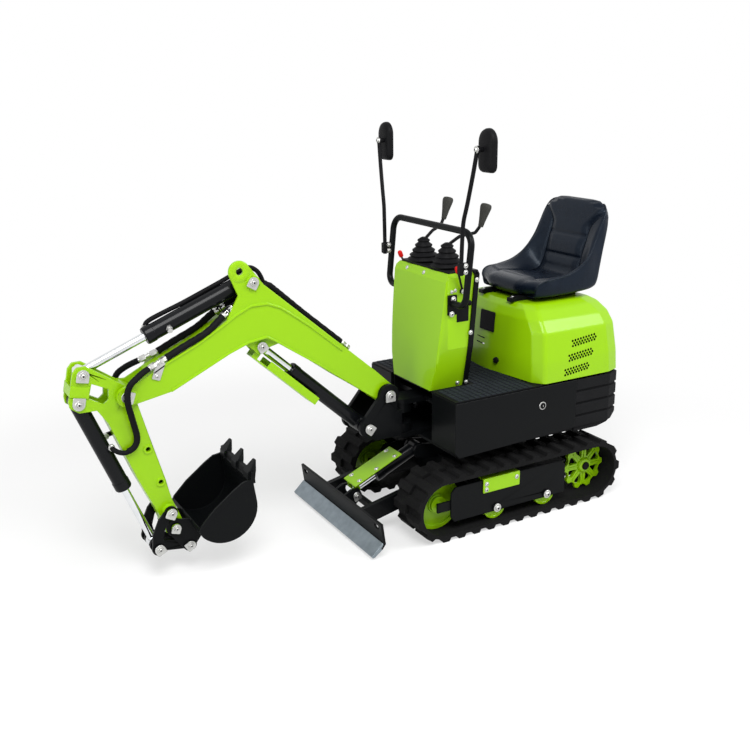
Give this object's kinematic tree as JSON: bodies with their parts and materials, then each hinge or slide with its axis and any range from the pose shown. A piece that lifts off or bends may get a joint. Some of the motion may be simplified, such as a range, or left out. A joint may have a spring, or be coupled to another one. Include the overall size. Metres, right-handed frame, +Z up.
{
  "type": "mini excavator",
  "caption": "Compact tracked mini excavator with open seat, lever console, rubber tracks, dozer blade and a swing boom carrying a toothed digging bucket.",
  "frame": {"origin": "on the ground under the middle of the machine's overall box", "axes": "+X forward towards the bucket, +Y to the machine's left, +Z up"},
  "size_m": [2.226, 0.817, 1.5674],
  "materials": {
    "lime_paint": "gloss lime paint",
    "black_paint": "satin black paint",
    "track_rubber": "matte track rubber",
    "bare_steel": "worn bare steel",
    "rod_chrome": "hard chrome",
    "mat_rubber": "moulded rubber",
    "seat_vinyl": "dark vinyl",
    "black_plastic": "moulded plastic",
    "red_plastic": "red plastic",
    "cast": "black casting",
    "engine_cast": "engine casting"
  },
  "bodies": {
    "undercarriage": {"track_left": "track_rubber", "track_right": "track_rubber", "side_frames": "black_paint", "sprockets": "lime_paint", "travel_motors": "cast", "idlers": "lime_paint", "track_rollers": "lime_paint", "track_guards": "lime_paint", "car_body": "black_paint"},
    "blade_body": {"blade": "black_paint", "cutting_edge": "bare_steel"},
    "blade_barrel_body": {"blade_barrel": "black_paint"},
    "blade_rod_body": {"blade_rod": "rod_chrome", "blade_guard": "lime_paint"},
    "house": {"house_frame": "black_paint", "skirts": "black_paint", "counterweight": "cast", "deck_mat": "mat_rubber", "engine": "engine_cast", "hood_hinge": "bare_steel", "console": "lime_paint", "console_back": "black_paint", "control_levers": "mat_rubber", "lock_levers": "red_plastic", "handrail": "black_paint", "mirrors": "black_plastic"},
    "hood_body": {"hood": "lime_paint", "seat_rails": "black_paint", "seat": "seat_vinyl"},
    "swing_body": {"swing_bracket": "cast"},
    "swing_barrel_body": {"swing_barrel": "black_paint"},
    "swing_rod_body": {"swing_rod": "rod_chrome"},
    "boom_body": {"boom": "lime_paint"},
    "boom_barrel_body": {"boom_barrel": "black_paint"},
    "boom_rod_body": {"boom_rod": "rod_chrome", "rod_guard": "lime_paint"},
    "arm_barrel_body": {"arm_barrel": "black_paint"},
    "arm_rod_body": {"arm_rod": "rod_chrome"},
    "arm_body": {"arm": "lime_paint"},
    "bucket_barrel_body": {"bucket_barrel": "black_paint"},
    "bucket_rod_body": {"bucket_rod": "rod_chrome"},
    "lever_body": {"bucket_levers": "black_paint"},
    "link_body": {"bucket_link": "black_paint"},
    "bucket_body": {"bucket": "black_paint"}
  },
  "joints": [
    {"name": "house_slew", "type": "hinge", "parent": "undercarriage", "child": "house", "pos_m": [-0.561, 0, 0.3], "axis": [0, 0, 1], "continuous": true},
    {"name": "blade_lift", "type": "hinge", "parent": "undercarriage", "child": "blade_body", "pos_m": [-0.231, 0, 0.15], "axis": [0, -1, 0], "range_deg": [-10, 22]},
    {"name": "blade_cylinder_pivot", "type": "hinge", "parent": "undercarriage", "child": "blade_barrel_body", "pos_m": [-0.261, 0, 0.262], "axis": [0, -1, 0], "range_deg": [-8.1, 17.8]},
    {"name": "blade_rod_slide", "type": "slide", "parent": "blade_barrel_body", "child": "blade_rod_body", "axis": [0.9171, 0, -0.3986], "range_m": [-0.0374, 0.017]},
    {"name": "hood_tilt", "type": "hinge", "parent": "house", "child": "hood_body", "pos_m": [-1.099, 0, 0.564], "axis": [0, -1, 0], "range_deg": [0, 50]},
    {"name": "boom_swing", "type": "hinge", "parent": "house", "child": "swing_body", "pos_m": [-0.186, 0, 0.42], "axis": [0, 0, 1], "range_deg": [-50, 60]},
    {"name": "swing_cylinder_pivot", "type": "hinge", "parent": "house", "child": "swing_barrel_body", "pos_m": [-0.566, -0.11, 0.418], "axis": [0, 0, 1], "range_deg": [-2.5, 3]},
    {"name": "swing_rod_slide", "type": "slide", "parent": "swing_barrel_body", "child": "swing_rod_body", "axis": [0.9993, 0.0386, 0], "range_m": [-0.0757, 0.0908]},
    {"name": "boom_lift", "type": "hinge", "parent": "swing_body", "child": "boom_body", "pos_m": [-0.093, 0, 0.542], "axis": [0, -1, 0], "range_deg": [-40, 47]},
    {"name": "boom_cylinder_pivot", "type": "hinge", "parent": "swing_body", "child": "boom_barrel_body", "pos_m": [0.002, 0, 0.42], "axis": [0, -1, 0], "range_deg": [-38.8, 45.6]},
    {"name": "boom_rod_slide", "type": "slide", "parent": "boom_barrel_body", "child": "boom_rod_body", "axis": [0.7321, 0, 0.6812], "range_m": [-0.101, 0.1187]},
    {"name": "arm_crowd", "type": "hinge", "parent": "boom_body", "child": "arm_body", "pos_m": [0.924, 0, 0.708], "axis": [0, 1, 0], "range_deg": [-58, 30]},
    {"name": "arm_cylinder_pivot", "type": "hinge", "parent": "boom_body", "child": "arm_barrel_body", "pos_m": [0.446, 0, 1.051], "axis": [0, 1, 0], "range_deg": [-4.6, 2.4]},
    {"name": "arm_rod_slide", "type": "slide", "parent": "arm_barrel_body", "child": "arm_rod_body", "axis": [0.9265, 0, -0.3763], "range_m": [-0.1534, 0.0794]},
    {"name": "bucket_curl", "type": "hinge", "parent": "arm_body", "child": "bucket_body", "pos_m": [0.794, 0, 0.184], "axis": [0, 1, 0], "range_deg": [-120, 20]},
    {"name": "bucket_cylinder_pivot", "type": "hinge", "parent": "arm_body", "child": "bucket_barrel_body", "pos_m": [1.082, 0, 0.705], "axis": [0, 1, 0], "range_deg": [-6.2, 1.1]},
    {"name": "bucket_rod_slide", "type": "slide", "parent": "bucket_barrel_body", "child": "bucket_rod_body", "axis": [-0.3513, 0, -0.9363], "range_m": [-0.1689, 0.0282]},
    {"name": "bucket_lever_pivot", "type": "hinge", "parent": "arm_body", "child": "lever_body", "pos_m": [0.81, 0, 0.253], "axis": [0, 1, 0], "range_deg": [-77.7, 13]},
    {"name": "bucket_link_pivot", "type": "hinge", "parent": "bucket_body", "child": "link_body", "pos_m": [0.745, 0, 0.103], "axis": [0, 1, 0], "range_deg": [-10.5, 62.7]}
  ],
  "couplings": [
    {"joint": "blade_cylinder_pivot", "follows": "blade_lift", "ratio": 0.8056},
    {"joint": "blade_rod_slide", "follows": "blade_lift", "m_per_rad": -0.09724},
    {"joint": "swing_cylinder_pivot", "follows": "boom_swing", "ratio": 0.0486},
    {"joint": "swing_rod_slide", "follows": "boom_swing", "m_per_rad": 0.08668},
    {"joint": "boom_cylinder_pivot", "follows": "boom_lift", "ratio": 0.97},
    {"joint": "boom_rod_slide", "follows": "boom_lift", "m_per_rad": 0.1446},
    {"joint": "arm_cylinder_pivot", "follows": "arm_crowd", "ratio": 0.0786},
    {"joint": "arm_rod_slide", "follows": "arm_crowd", "m_per_rad": 0.15147},
    {"joint": "bucket_cylinder_pivot", "follows": "bucket_curl", "ratio": 0.0516},
    {"joint": "bucket_rod_slide", "follows": "bucket_curl", "m_per_rad": 0.08064},
    {"joint": "bucket_lever_pivot", "follows": "bucket_curl", "ratio": 0.64694},
    {"joint": "bucket_link_pivot", "follows": "bucket_curl", "ratio": -0.52206}
  ]
}
